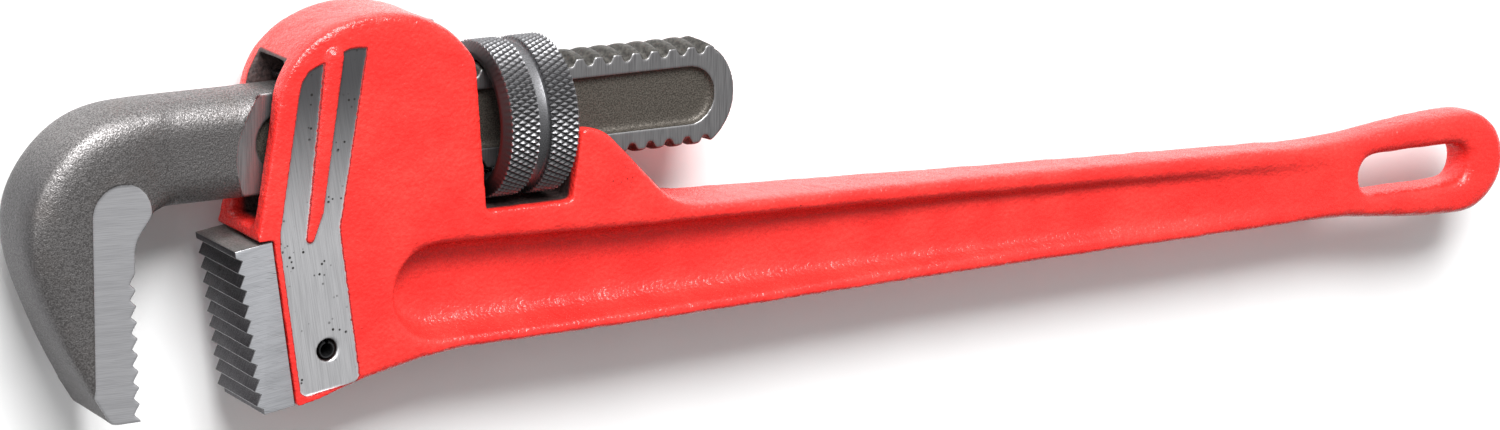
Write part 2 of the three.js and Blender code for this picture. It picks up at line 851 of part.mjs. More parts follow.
function passageCut() {
  const shankWay = block(-FAR, 0, passageFloor, passageRoof, -passageHalf, passageHalf);
  const cheekSlot = block(0, FAR, crestBottom - HEAD.cheekSlotBelow, FAR, -passageHalf, passageHalf);
  return shankWay.add(cheekSlot);
}

function heelSeatCut() {
  const { tenonTop, tenonDepth, tenonHalfThickness } = HEEL;
  const half = tenonHalfThickness + GAP;
  const room = heelRectangle(tenonTop - GAP, tenonBottom + GAP, OVERLAP, -tenonDepth - GAP);
  const slot = plate(room, -half, half);
  const [x, y] = heelPoint(PIN.down, -PIN.in);
  return slot.add(crossBar(x, y, PIN.radius + GAP, -FAR, FAR));
}

function springCuts() {
  const { radius } = RIVET;
  const rivetHole = new THREE.CylinderGeometry(radius + GAP, radius + GAP, RIVET.depth + 2 * GAP, HOLE_SIDES);
  rivetHole.translate(LEAF.rivetX, passageRoof + RIVET.depth / 2, 0);
  const coilRadius = COIL.radius + COIL.pocketPlay;
  const coilHole = new THREE.CylinderGeometry(coilRadius, coilRadius, COIL.pocketDepth + 2 * GAP, HOLE_SIDES);
  coilHole.translate(COIL.x, passageFloor - COIL.pocketDepth / 2, 0);
  return solid(rivetHole).add(solid(coilHole));
}

function makeHandle() {
  const { length, halfWidth, corner, centreX } = HANG_SLOT;
  const hang = roundedRectangle(
    centreX - length / 2,
    centreX + length / 2,
    HANDLE.endY - halfWidth,
    HANDLE.endY + halfWidth,
    corner,
  );
  return plate(bodyOutline(), -HEAD.halfThickness, HEAD.halfThickness)
    .intersect(bodyPlan())
    .subtract(webPocket())
    .subtract(groundFlats())
    .subtract(passageCut())
    .subtract(heelSeatCut())
    .subtract(springCuts())
    .subtract(plate(hang, -FAR, FAR));
}

// ---------- springs ----------

// The flat spring over the shank: flat under its rivet, then bent down to ride on the arm. Its hole is a
// slot, in which the rivet has room as the leaf rocks with the hook jaw.
function makeFlatSpring() {
  const { rootX, tipX, halfWidth, thickness, rivetX, flat, sag, holePlay } = LEAF;
  const tipY = Math.max(crestTop, armTop) + GAP + thickness;
  const bendX = rivetX - flat;
  const shape = new THREE.Shape();
  shape.moveTo(rootX, leafTop);
  shape.lineTo(bendX, leafTop);
  shape.quadraticCurveTo((bendX + tipX) / 2, tipY + sag, tipX, tipY);
  shape.lineTo(tipX, tipY - thickness);
  shape.quadraticCurveTo((bendX + tipX) / 2, tipY + sag - thickness, bendX, leafTop - thickness);
  shape.lineTo(rootX, leafTop - thickness);
  const holeHalf = RIVET.radius + GAP;
  const slot = stadium(rivetX - holeHalf - GAP, rivetX + RIVET.radius + holePlay, 0, holeHalf);
  const hole = new THREE.ExtrudeGeometry(slot, {
    depth: FAR,
    bevelEnabled: false,
    curveSegments: HOLE_SIDES / 2,
  });
  hole.rotateX(Math.PI / 2);
  hole.translate(0, leafTop + FAR / 2, 0);
  return plate(shape, -halfWidth, halfWidth).subtract(solid(hole));
}

function makeSpringRivet() {
  const { radius, headRadius, headFlat, headHeight, headRim, depth, headPlay } = RIVET;
  const headTop = leafTop - LEAF.thickness - headPlay;
  const headBottom = headTop - headHeight;
  const top = passageRoof + depth;
  const geometry = new THREE.LatheGeometry(
    [
      [0, headBottom],
      [headFlat, headBottom],
      [headRadius, headTop - headRim],
      [headRadius, headTop],
      [radius, headTop],
      [radius, top],
      [0, top],
    ].map(([r, y]) => new THREE.Vector2(r, y)),
    HOLE_SIDES,
  );
  geometry.translate(LEAF.rivetX, 0, 0);
  return solid(geometry);
}

// The coil spring that lifts the shank, standing in its pocket.
function makeCoilSpring() {
  const { radius, wire, turns, x, pocketDepth, sides } = COIL;
  const bottom = passageFloor - pocketDepth + wire + GAP;
  const top = Math.min(armBottom, crestBottom) - GAP - wire;
  const middle = radius - wire;
  class Helix extends THREE.Curve {
    getPoint(t, target = new THREE.Vector3()) {
      const angle = 2 * Math.PI * turns * t;
      return target.set(
        x + middle * Math.cos(angle),
        THREE.MathUtils.lerp(bottom, top, t),
        middle * Math.sin(angle),
      );
    }
  }
  const section = new THREE.Shape();
  for (let side = 0; side < sides; side += 1) {
    const angle = (2 * Math.PI * side) / sides;
    const place = [wire * Math.cos(angle), wire * Math.sin(angle)];
    if (side === 0) section.moveTo(...place);
    else section.lineTo(...place);
  }
  const geometry = new THREE.ExtrudeGeometry(section, {
    steps: 18 * turns,
    bevelEnabled: false,
    extrudePath: new Helix(),
  });
  return solid(geometry);
}

// ---------- the assembly ----------

function piece(name, body, color, roughness, metalness) {
  const material = new THREE.MeshStandardMaterial({ color, roughness, metalness });
  const mesh = new THREE.Mesh(geometryOf(body), material);
  mesh.name = name;
  return mesh;
}

const wrench = new THREE.Group();
wrench.add(
  piece("handle_housing", makeHandle(), 0xe0322c, 0.45, 0.1),
  piece("heel_jaw", makeHeelJaw(), 0x6f6e72, 0.4, 1),
  piece("heel_jaw_pin", makeHeelPin(), 0x4a4a4e, 0.4, 1),
  piece("hook_jaw", makeHookJaw(), 0x77716f, 0.5, 0.9),
  piece("adjusting_nut", makeNut(), 0x5f6062, 0.4, 0.9),
  piece("flat_spring", makeFlatSpring(), 0x3c3f45, 0.35, 1),
  piece("flat_spring_rivet", makeSpringRivet(), 0x5a5a5e, 0.4, 1),
  piece("coil_spring", makeCoilSpring(), 0x54565a, 0.35, 1),
);

const box = new THREE.Box3().setFromObject(wrench);
const middle = box.getCenter(new THREE.Vector3());
wrench.position.set(-middle.x, -middle.y, -box.min.z);

export default wrench;
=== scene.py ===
import math

import bmesh
import bpy
import numpy as np
from mathutils import Matrix, Vector


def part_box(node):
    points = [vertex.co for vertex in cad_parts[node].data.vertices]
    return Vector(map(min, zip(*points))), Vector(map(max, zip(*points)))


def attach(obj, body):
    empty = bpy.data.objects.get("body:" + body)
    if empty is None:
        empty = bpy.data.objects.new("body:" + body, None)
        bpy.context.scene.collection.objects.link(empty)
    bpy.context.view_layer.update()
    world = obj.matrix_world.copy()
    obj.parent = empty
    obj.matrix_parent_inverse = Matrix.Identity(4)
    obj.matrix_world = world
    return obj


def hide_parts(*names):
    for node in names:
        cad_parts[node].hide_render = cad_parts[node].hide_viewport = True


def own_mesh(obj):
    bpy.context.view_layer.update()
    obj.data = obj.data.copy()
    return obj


# Straight-pattern pipe wrench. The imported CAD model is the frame, and each piece here is rebuilt over its
# CAD node. Places are given in the wrench's working frame, in millimetres: its origin is the centre of
# the adjusting nut, +X runs to the end of the handle, +Y to the dome of the head and +Z through it.

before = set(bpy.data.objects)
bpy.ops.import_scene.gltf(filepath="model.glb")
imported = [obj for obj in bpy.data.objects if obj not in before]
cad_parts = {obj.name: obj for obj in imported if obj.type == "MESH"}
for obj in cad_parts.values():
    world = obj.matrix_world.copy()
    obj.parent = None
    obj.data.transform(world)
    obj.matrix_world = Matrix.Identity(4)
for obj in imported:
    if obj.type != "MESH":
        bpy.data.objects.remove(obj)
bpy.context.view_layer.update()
MM = 0.001

# ---------- driving dimensions, in millimetres ----------

CAST_VOXEL = 0.45
FORGED_VOXEL = 0.32
RELAX_STEP = 0.9  # share of the way to its neighbours' mean that a free point moves in one round
BLUR_TO_RADIUS = 1.8  # edge radius that a blur of 1 mm leaves

CAST_EDGE = 3.2  # edge radii of the casting: outside, at the heel jaw's seat, the nut's window and the mouth
SEAT_EDGE = 0.9
WINDOW_EDGE = 1.3
MOUTH_EDGE = 2.1
INSIDE_EDGE = 0.9
EYE_EDGE = 4.4  # at the handle's end
FINEST_EDGE = 0.7
LUMP_SIZE = 7
LUMP_HEIGHT = 0.35
GROUP_STEPS = 8  # weights that the painted group is rounded to

NUT_STARTS = 72  # knurl lines each way round the nut
NUT_SAMPLES = 8  # points to one knurl line
NUT_KNURL_ANGLE = 30  # degrees, between the knurl lines and the axis
NUT_KNURL_DEPTH = 0.58
NUT_KNURL_FLATTENING = 1.12  # above 1, the knurl's points are cut off flat
NUT_GROOVE_WIDTH = 3.2
NUT_GROOVE_DEPTH = 1.5
NUT_GROOVE_SECTION = ((-1.0, 0.35), (-0.86, 0.05), (-0.5, 0), (0.5, 0), (0.86, 0.05), (1.0, 0.35))
NUT_FACE_PAINTED_SHADE = -0.6  # painted shade on the face towards the head, given as a height of the knurl
NUT_CHAMFER_WIDTH = 1.4
NUT_CHAMFER_DEPTH = 2.4
NUT_BORE = 14.6
NUT_BORE_RELIEF = 0.3  # how much wider the bore is outside its thread
NUT_MOUTH = 1.2  # length of the plain bore at each end
NUT_THREAD_PLAY = 0.4

THREAD_PITCH = 5.0
THREAD_CREST_AT = 15.6
THREAD_DEPTH = 1.6
THREAD_SAMPLES = 16  # rings of the nut to one pitch
THREAD_FLAT = 0.13  # half the flat of the crest and the width of a flank, as shares of the pitch
THREAD_FLANK = 0.2
THREAD_START = -24

WINDOW = (-14, 15)  # ends along X of the nut's window and of the passage
PASSAGE = (-62, 10)
PITTED = (24.0, -15.5)  # a patch of small pits in the enamel of the cheek
SIDE_GROUND = 0.4  # how far the ground parts of the head's sides lie below the casting
FAR_FROM_GROUND = 5  # what the distance to the ground parts is set to off the sides
HEAD_END = -38  # the sides are ground only this far along X
SEAT_TOP = (-65.3, -20.3)
SEAT_LEAN = 7.9  # degrees
GROUND_FROM_SEAT = 1.7
GROUND_WIDTH = 14.8
GROUND_TOP = 2.0
GROUND_BOTTOM = 37.6
BAND_FOOT = -18.5
BAND_LEANS = (0.155, 0.17)  # sideways for each mm up, of its left and right edges
LEFT_BAND_CROWN = ((12.4, 0.0), (15.4, 0.2), (17.8, 1.6), (19.2, 4.6))  # height, and how far aside
RIGHT_BAND_CROWN = ((21.2, -6.4), (22.0, -4.0), (21.9, 0.0))
RIB_LINE = ((-50.0, 20.5), (-54.5, -14.5), (-56.0, -20.6))
RIB_HALF_WIDTHS = (2.45, 1.85, 1.1)
RIB_HEIGHTS = (1.7, 1.1, 0.6)

# edge radii of the hook jaw: at its tip, how much more above it, and how much less on the arm
HOOK_TIP_EDGE = 1.2
HOOK_EXTRA_EDGE = 6.2
ARM_LESS_EDGE = 4.7
THREAD_EDGE = 0.8
MILLED_EDGE = 0.16
POCKET_EDGE = 2.1

SHANK_HALF = 5.5
SHANK_RISE = 1.1
POCKET_HALF = 6.9
POCKET_ENDS = (-66.5, 52.4)
RUN_OUT = (-56.6, -1.0)
RUN_OUT_RADIUS = 16.5
PAD_HALF = 10.5
PAD_CENTRE = (-101.4, -10.2)
PAD_RADIUS = 7.2
PAD_LEFT = -108.6
PAD_BOTTOM = -57.7
TEETH_X = -97.6
TEETH_TOP = -22.2

GROUND_METALLIC = 0.82  # ground steel is a little hazy

PIN_WALL = 0.75
PIN_PLAY = 0.3  # between the pin and its hole
PIN_SLIT = 26  # degrees of the spring pin that are missing
COIL_WIRE = 0.6
COIL_TURNS = 5
COIL_STEPS = 40  # points to one turn

FLOOR_HALF = 6.0  # metres

CAMERA_TURN = 31.7  # degrees from straight above towards the jaws' side
CAMERA_RISE = 14.05
CAMERA_ROLL = 1.12
CAMERA_DISTANCE = 1.0832  # metres, as is its target
CAMERA_TARGET = (-0.0216, -0.0160, 0.0185)
CAMERA_LENS = 108
WORLD_BRIGHTNESS = (0.16, 0.64)  # at the jaws' mouth side and at the dome's side

# ---------- places that follow from the frame ----------


def box_mm(node):
    low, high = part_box(node)
    return np.array(low) / MM, np.array(high) / MM


nut_low, nut_high = box_mm("adjusting_nut")
ORIGIN = (nut_low + nut_high) / 2
NUT_RADIUS = (nut_high[2] - nut_low[2]) / 2
NUT_HALF_WIDTH = (nut_high[0] - nut_low[0]) / 2
housing_low, housing_high = box_mm("handle_housing")
SIDE = (housing_high[2] - housing_low[2]) / 2


def working(points):
    """Row-frame metres to working-frame millimetres."""
    return np.asarray(points) / MM - ORIGIN


def metres(points):
    """Working-frame millimetres to row-frame metres."""
    return (np.asarray(points) + ORIGIN) * MM


# ---------- mesh helpers ----------


def add_piece(name, mesh):
    piece = bpy.data.objects.new(name, mesh)
    bpy.context.scene.collection.objects.link(piece)
    return piece


def cad_copy(node, name):
    """A new object with the CAD node's own shape, its facets joined up again."""
    made = bmesh.new()
    made.from_mesh(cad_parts[node].data)
    bmesh.ops.remove_doubles(made, verts=made.verts, dist=1e-6)
    mesh = bpy.data.meshes.new(name)
    made.to_mesh(mesh)
    made.free()
    return add_piece(name, mesh)


def apply_modifiers(piece):
    depsgraph = bpy.context.evaluated_depsgraph_get()
    mesh = bpy.data.meshes.new_from_object(piece.evaluated_get(depsgraph))
    piece.modifiers.clear()
    piece.data = mesh


def remesh(piece, voxel):
    modifier = piece.modifiers.new("remesh", "REMESH")
    modifier.mode = "VOXEL"
    modifier.voxel_size = voxel * MM
    modifier.use_smooth_shade = True
    apply_modifiers(piece)


def points_of(piece):
    flat = np.empty(len(piece.data.vertices) * 3)
    piece.data.vertices.foreach_get("co", flat)
    return working(flat.reshape(-1, 3))


def set_points(piece, points):
    piece.data.vertices.foreach_set("co", metres(points).astype(np.float32).ravel())
    piece.data.update()


def relax(piece, points, reach, voxel):
    """Rounds the shape off. reach is, for each point, about the edge radius in mm that it gets."""
    edges = np.empty(len(piece.data.edges) * 2, np.int32)
    piece.data.edges.foreach_get("vertices", edges)
    start, end = edges.reshape(-1, 2).T
    total = len(points)
    neighbours = np.bincount(start, minlength=total) + np.bincount(end, minlength=total)
    spread = (reach / BLUR_TO_RADIUS) ** 2  # variance of the blur that gives such a radius
    per_round = voxel**2 / 2 * RELAX_STEP
    rounds = int(math.ceil(spread.max() / per_round))
    weight = (RELAX_STEP * spread / spread.max())[:, None]
    for _ in range(rounds):
        mean = np.stack(
            [
                np.bincount(start, points[end, axis], total)
                + np.bincount(end, points[start, axis], total)
                for axis in range(3)
            ],
            axis=1,
        )
        points = points + weight * (mean / neighbours[:, None] - points)
    return points


def store(piece, name, values):
    attribute = piece.data.attributes.new(name, "FLOAT", "POINT")
    attribute.data.foreach_set("value", np.asarray(values, np.float32))


def smoothstep(low, high, value):
    t = np.clip((value - low) / (high - low), 0, 1)
    return t * t * (3 - 2 * t)


def between(ends, fade, value):
    """1 between the ends, falling to 0 over the fade outside them."""
    low, high = ends
    return smoothstep(low - fade, low, value) * smoothstep(high + fade, high, value)


def distance_to_outline(points, outline):
    """Distance in the side view from each point to a closed outline, negative inside."""
    x, y = points[:, 0], points[:, 1]
    nearest = np.full(len(points), np.inf)
    inside = np.zeros(len(points), bool)
    for (ax, ay), (bx, by) in zip(outline, outline[1:] + outline[:1]):
        ex, ey = bx - ax, by - ay
        along = np.clip(((x - ax) * ex + (y - ay) * ey) / (ex * ex + ey * ey), 0, 1)
        nearest = np.minimum(nearest, np.hypot(x - ax - along * ex, y - ay - along * ey))
        if ay != by:
            inside ^= ((ay > y) != (by > y)) & (x < ex * (y - ay) / ey + ax)
    return np.where(inside, -nearest, nearest)


def arc(centre, radius, start, end, steps=10):
    angles = np.radians(np.linspace(start, end, steps + 1))
    return [(centre[0] + radius * math.cos(a), centre[1] + radius * math.sin(a)) for a in angles]


def lathe_rings(rings, closed):
    """A mesh from rings of points, joined one to the next and, if closed, the last to the first."""
    count = len(rings[0])
    vertices = np.concatenate(rings)
    faces = []
    for ring in range(len(rings) if closed else len(rings) - 1):
        near = ring * count
        far = (ring + 1) % len(rings) * count
        for step in range(count):
            after = (step + 1) % count
            faces.append((near + step, near + after, far + after, far + step))
    mesh = bpy.data.meshes.new("rings")
    mesh.from_pydata(metres(vertices).tolist(), [], faces)
    return mesh


def shade(piece, sharp_degrees=None):
    for polygon in piece.data.polygons:
        polygon.use_smooth = True
    if sharp_degrees is not None:
        piece.data.set_sharp_from_angle(angle=math.radians(sharp_degrees))


def bevel(piece, width, edge_material=-1):
    """Joins the flat facets and takes the sharp edges off."""
    made = bmesh.new()
    made.from_mesh(piece.data)
    bmesh.ops.dissolve_limit(
        made, angle_limit=math.radians(1), verts=made.verts, edges=made.edges
    )
    made.to_mesh(piece.data)
    made.free()
    modifier = piece.modifiers.new("bevel", "BEVEL")
    modifier.width = width * MM
    modifier.segments = 2
    modifier.limit_method = "ANGLE"
    modifier.angle_limit = math.radians(25)
    modifier.use_clamp_overlap = True
    modifier.material = edge_material
    apply_modifiers(piece)


# ---------- materials ----------


class Nodes:
    """A material's node tree, with short calls for the nodes that the materials share."""

    def __init__(self, name):
        self.material = bpy.data.materials.new(name)
        self.material.use_nodes = True
        self.tree = self.material.node_tree
        self.shader = self.tree.nodes["Principled BSDF"]
        self.place = self.tree.nodes.new("ShaderNodeTexCoord").outputs["Object"]

    def link(self, source, target):
        self.tree.links.new(source, target)

    def stretched(self, scale, turn_degrees=0):
        """Coordinates in mm, turned about Z and then divided by the grain's size on each axis."""
        turned = self.tree.nodes.new("ShaderNodeMapping")
        turned.inputs["Rotation"].default_value[2] = math.radians(turn_degrees)
        self.link(self.place, turned.inputs["Vector"])
        sized = self.tree.nodes.new("ShaderNodeVectorMath")
        sized.operation = "MULTIPLY"
        sized.inputs[1].default_value = [1 / (size * MM) for size in scale]
        self.link(turned.outputs["Vector"], sized.inputs[0])
        return sized.outputs["Vector"]

    def noise(self, size, detail=2, turn_degrees=0):
        """Noise whose grains are about size mm, one number or one for each axis."""
        scale = size if isinstance(size, tuple) else (size, size, size)
        node = self.tree.nodes.new("ShaderNodeTexNoise")
        node.inputs["Scale"].default_value = 1
        node.inputs["Detail"].default_value = detail
        self.link(self.stretched(scale, turn_degrees), node.inputs["Vector"])
        return node.outputs["Fac"]

    def spots(self, size, radius):
        """1 inside round spots, one to each cell of that size in mm."""
        node = self.tree.nodes.new("ShaderNodeTexVoronoi")
        node.inputs["Scale"].default_value = 1
        self.link(self.stretched((size, size, size)), node.inputs["Vector"])
        return self.ramp(node.outputs["Distance"], radius, radius * 0.6)

    def ramp(self, value, low, high, to_low=0.0, to_high=1.0):
        node = self.tree.nodes.new("ShaderNodeMapRange")
        node.interpolation_type = "SMOOTHSTEP"
        node.inputs["From Min"].default_value = low
        node.inputs["From Max"].default_value = high
        node.inputs["To Min"].default_value = to_low
        node.inputs["To Max"].default_value = to_high
        self.link(value, node.inputs["Value"])
        return node.outputs["Result"]

    def math(self, operation, first, second):
        node = self.tree.nodes.new("ShaderNodeMath")
        node.operation = operation
        for socket, value in zip(node.inputs, (first, second)):
            if isinstance(value, (int, float)):
                socket.default_value = value
            else:
                self.link(value, socket)
        return node.outputs["Value"]

    def row_y(self):
        """Y in metres in the shared frame, with the wrench at rest."""
        node = self.tree.nodes.new("ShaderNodeSeparateXYZ")
        self.link(self.place, node.inputs["Vector"])
        return node.outputs["Y"]

    def facing(self, axis):
        """How far the surface faces along that axis, from -1 to 1."""
        node = self.tree.nodes.new("ShaderNodeSeparateXYZ")
        self.link(self.tree.nodes.new("ShaderNodeNewGeometry").outputs["Normal"], node.inputs["Vector"])
        return node.outputs[axis]

    def attribute(self, name):
        node = self.tree.nodes.new("ShaderNodeAttribute")
        node.attribute_name = name
        return node.outputs["Fac"]

    def mix(self, share, first, second, kind="RGBA"):
        node = self.tree.nodes.new("ShaderNodeMix")
        node.data_type = kind
        offset = {"FLOAT": 2, "VECTOR": 4, "RGBA": 6}[kind]
        self.link(share, node.inputs["Factor"])
        for socket, value in zip(node.inputs[offset : offset + 2], (first, second)):
            if isinstance(value, (tuple, float, int)):
                socket.default_value = (*value, 1) if isinstance(value, tuple) else value
            else:
                self.link(value, socket)
        return node.outputs[{"FLOAT": 0, "VECTOR": 1, "RGBA": 2}[kind]]

    def bump(self, height, depth, below=None):
        """A bump whose height of 1 stands depth mm proud."""
        node = self.tree.nodes.new("ShaderNodeBump")
        node.inputs["Strength"].default_value = 1
        node.inputs["Distance"].default_value = depth * MM
        self.link(height, node.inputs["Height"])
        if below is not None:
            self.link(below, node.inputs["Normal"])
        return node.outputs["Normal"]

    def finish(self, color, roughness, normal, metallic=1.0, **constants):
        targets = {"Base Color": color, "Roughness": roughness, "Normal": normal, "Metallic": metallic}
        for name, value in targets.items():
            socket = self.shader.inputs[name]
            if isinstance(value, (int, float)):
                socket.default_value = value
            elif isinstance(value, tuple):
                socket.default_value = (*value, 1)
            else:
                self.link(value, socket)
        for name, value in constants.items():
            self.shader.inputs[name.replace("_", " ")].default_value = value
        return self.material


def brushed(nodes, light, dark, turn_degrees, grain=0.12, length=9.0):
    """Colour, roughness and height of a ground or milled face, its lines turned from the X axis."""
    lines = nodes.noise((length, grain, length), 3, turn_degrees)
    broad = nodes.noise((length * 3, grain * 9, length * 3), 2, turn_degrees)
    both = nodes.math("ADD", nodes.math("MULTIPLY", lines, 0.7), nodes.math("MULTIPLY", broad, 0.3))
    color = nodes.mix(nodes.ramp(both, 0.35, 0.65), dark, light)
    roughness = nodes.ramp(both, 0.3, 0.7, 0.42, 0.3)
    return color, roughness, both


def enamel_material():
    """Red enamel on a rough casting, bare steel where 'ground' is negative, painted shade where 'inside' is
    1 and on faces turned towards -Y, and a painted dark reflection towards the top of the bare steel.
    """
    nodes = Nodes("red_enamel")
    broad = nodes.noise(14, 2)
    peel = nodes.noise(0.9, 2)
    grit = nodes.noise(0.4, 2)
    lumps = nodes.noise(3.2, 2)
    red = nodes.mix(nodes.ramp(broad, 0.3, 0.7), (0.78, 0.026, 0.022), (0.88, 0.040, 0.032))
    red = nodes.mix(nodes.ramp(peel, 0.66, 0.36, 0.0, 0.35), red, (0.62, 0.014, 0.012))
    red = nodes.mix(nodes.spots(9, 0.035), red, (0.30, 0.010, 0.010))
    # Painted shade: enamel facing towards -Y, such as the slope under the handle's upper flange, is
    # darkened.
    red = nodes.mix(nodes.ramp(nodes.facing("Y"), -0.1, -0.7, 0.0, 0.55), red, (0.34, 0.010, 0.010))
    patch = nodes.ramp(nodes.attribute("pitted"), 0.2, 0.9)
    red = nodes.mix(nodes.math("MULTIPLY", nodes.spots(1.1, 0.24), patch), red, (0.28, 0.012, 0.012))
    enamel_bump = nodes.bump(lumps, 0.30)
    enamel_bump = nodes.bump(peel, 0.26, enamel_bump)
    enamel_bump = nodes.bump(grit, 0.05, enamel_bump)

    steel, steel_rough, lines = brushed(nodes, (0.84, 0.84, 0.86), (0.56, 0.56, 0.575), 82)
    # Painted dark reflection: the bare steel of the ground parts is darkened towards the top of the head.
    painted_dark_reflection = nodes.ramp(nodes.row_y(), -0.008, 0.032, 0.0, 0.9)
    steel = nodes.mix(painted_dark_reflection, steel, (0.06, 0.06, 0.064))
    pits = nodes.math("MULTIPLY", nodes.spots(1.6, 0.25), nodes.ramp(nodes.noise(7, 2), 0.50, 0.60))
    steel = nodes.mix(pits, steel, (0.05, 0.047, 0.045))
    steel_bump = nodes.bump(lines, 0.012)

    ragged = nodes.math("MULTIPLY", nodes.math("SUBTRACT", nodes.noise(0.8, 3), 0.5), 0.45)
    edge = nodes.math("ADD", nodes.attribute("ground"), ragged)
    bare = nodes.ramp(edge, 0.06, -0.06)
    rim = nodes.math("MULTIPLY", nodes.ramp(edge, -0.05, 0.12), nodes.ramp(edge, 0.45, 0.15))
    red = nodes.mix(rim, red, (0.22, 0.012, 0.012))
    color = nodes.mix(bare, red, steel)
    roughness = nodes.mix(bare, nodes.ramp(grit, 0.3, 0.7, 0.20, 0.32), steel_rough, "FLOAT")
    # Painted shade: the casting is darkened in the passage, the nut's window and the pin's hole.
    shaded_recess = nodes.ramp(nodes.attribute("inside"), 0.0, 1.0)
    shade_mottle = nodes.ramp(peel, 0.35, 0.65)
    recess_shade_color = nodes.mix(shade_mottle, (0.022, 0.013, 0.013), (0.055, 0.032, 0.030))
    color = nodes.mix(shaded_recess, color, recess_shade_color)
    roughness = nodes.mix(shaded_recess, roughness, 0.6, "FLOAT")
    normal = nodes.mix(bare, enamel_bump, steel_bump, "VECTOR")
    return nodes.finish(color, roughness, normal, nodes.math("MULTIPLY", bare, GROUND_METALLIC))


def forged_material():
    """Shot-blasted forging, with painted shade on faces turned towards -X; bright where 'milled' is above
    zero and rough and umber-coloured in the pocket.
    """
    nodes = Nodes("forged_steel")
    speckle = nodes.noise(0.34, 2)
    coarse = nodes.noise(0.9, 3)
    stain = nodes.noise(11, 3)
    grey = nodes.mix(nodes.ramp(speckle, 0.33, 0.68), (0.100, 0.095, 0.094), (0.265, 0.254, 0.253))
    stain_and_shade = nodes.mix(nodes.ramp(stain, 0.52, 0.85, 0.0, 0.5), grey, (0.150, 0.125, 0.112))
    pocket = nodes.mix(nodes.ramp(speckle, 0.35, 0.65), (0.042, 0.036, 0.029), (0.115, 0.101, 0.086))
    # Painted shade: faces turned towards -X, the hook's back, are darkened.
    stain_and_shade = nodes.mix(nodes.ramp(nodes.facing("X"), -0.55, -0.95, 0.0, 0.75), stain_and_shade, (0.060, 0.059, 0.062))
    forged = nodes.mix(nodes.ramp(nodes.attribute("pocket"), 0.0, 0.3), stain_and_shade, pocket)
    thread = nodes.mix(nodes.ramp(coarse, 0.35, 0.65), (0.030, 0.028, 0.025), (0.072, 0.068, 0.060))
    forged = nodes.mix(nodes.ramp(nodes.attribute("thread"), 0.2, 0.8), forged, thread)
    forged_bump = nodes.bump(coarse, 0.13)
    forged_bump = nodes.bump(speckle, 0.09, forged_bump)
    forged_bump = nodes.mix(nodes.attribute("thread"), forged_bump, nodes.bump(speckle, 0.02), "VECTOR")
    dull = nodes.math("MAXIMUM", nodes.attribute("thread"), nodes.attribute("pocket"))

    steel, steel_rough, lines = brushed(nodes, (0.76, 0.76, 0.785), (0.54, 0.54, 0.56), 2, 0.16, 7.0)
    across = brushed(nodes, (0.40, 0.395, 0.40), (0.22, 0.215, 0.22), 90, 0.22, 8.0)
    cross, cross_rough, cross_lines = across
    shank = nodes.ramp(nodes.attribute("shank"), 0.4, 0.6)
    steel = nodes.mix(shank, steel, cross)
    steel_rough = nodes.mix(shank, steel_rough, cross_rough, "FLOAT")
    lines = nodes.mix(shank, lines, cross_lines, "FLOAT")
    steel_bump = nodes.bump(lines, 0.014)

    ragged = nodes.math("MULTIPLY", nodes.math("SUBTRACT", nodes.noise(0.5, 2), 0.5), 0.12)
    milled = nodes.ramp(nodes.math("ADD", nodes.attribute("milled"), ragged), -0.04, 0.04)
    color = nodes.mix(milled, forged, steel)
    roughness = nodes.mix(milled, nodes.ramp(speckle, 0.3, 0.7, 0.56, 0.40), steel_rough, "FLOAT")
    normal = nodes.mix(milled, forged_bump, steel_bump, "VECTOR")
    metallic = nodes.ramp(nodes.math("MULTIPLY", dull, nodes.math("SUBTRACT", 1, milled)), 0, 1, 0.9, 0.45)
    return nodes.finish(color, roughness, normal, metallic)


def nut_material():
    """Steel, bright on the knurl's worn points with a painted highlight, and dark with painted shade between
    them and on the face towards the head.
    """
    nodes = Nodes("nut_steel")
    wear_and_highlight = nodes.noise(3, 3)
    fine = nodes.noise(0.3, 2)
    smooth = nodes.mix(nodes.ramp(fine, 0.35, 0.65), (0.15, 0.15, 0.155), (0.24, 0.24, 0.25))
    points = nodes.mix(nodes.ramp(wear_and_highlight, 0.35, 0.65), (0.25, 0.25, 0.26), (0.38, 0.38, 0.39))
    # Painted highlight on the knurl's points, partly their wear; painted shade in the knurl's valleys and on
    # the face towards the head.
    color = nodes.mix(nodes.ramp(nodes.attribute("knurl"), 0.5, 1.0), smooth, points)
    color = nodes.mix(nodes.ramp(nodes.attribute("knurl"), 0.0, -0.7), color, (0.06, 0.058, 0.06))
    roughness = nodes.ramp(fine, 0.3, 0.7, 0.52, 0.40)
    return nodes.finish(color, roughness, nodes.bump(fine, 0.015), 1.0)


def ground_side_material():
    nodes = Nodes("jaw_ground_steel")
    color, roughness, lines = brushed(nodes, (0.80, 0.81, 0.85), (0.58, 0.59, 0.62), -8, 0.14, 6.0)
    scratch = nodes.noise((5, 0.09, 5), 1, 12)
    color = nodes.mix(nodes.ramp(scratch, 0.66, 0.74), color, (0.27, 0.27, 0.285))
    return nodes.finish(color, roughness, nodes.bump(lines, 0.012), GROUND_METALLIC)


def hardened_material():
    """Dark hardened steel of the heel jaw's teeth, with a faint line grain across them."""
    nodes = Nodes("hardened_teeth_steel")
    lines = nodes.noise((5, 5, 0.15), 2)
    grain = nodes.noise(0.25, 2)
    both = nodes.math("ADD", nodes.math("MULTIPLY", lines, 0.4), nodes.math("MULTIPLY", grain, 0.6))
    color = nodes.mix(nodes.ramp(both, 0.38, 0.62), (0.038, 0.036, 0.040), (0.085, 0.080, 0.088))
    roughness = nodes.ramp(both, 0.3, 0.7, 0.5, 0.38)
    return nodes.finish(color, roughness, nodes.bump(both, 0.02), 0.85)


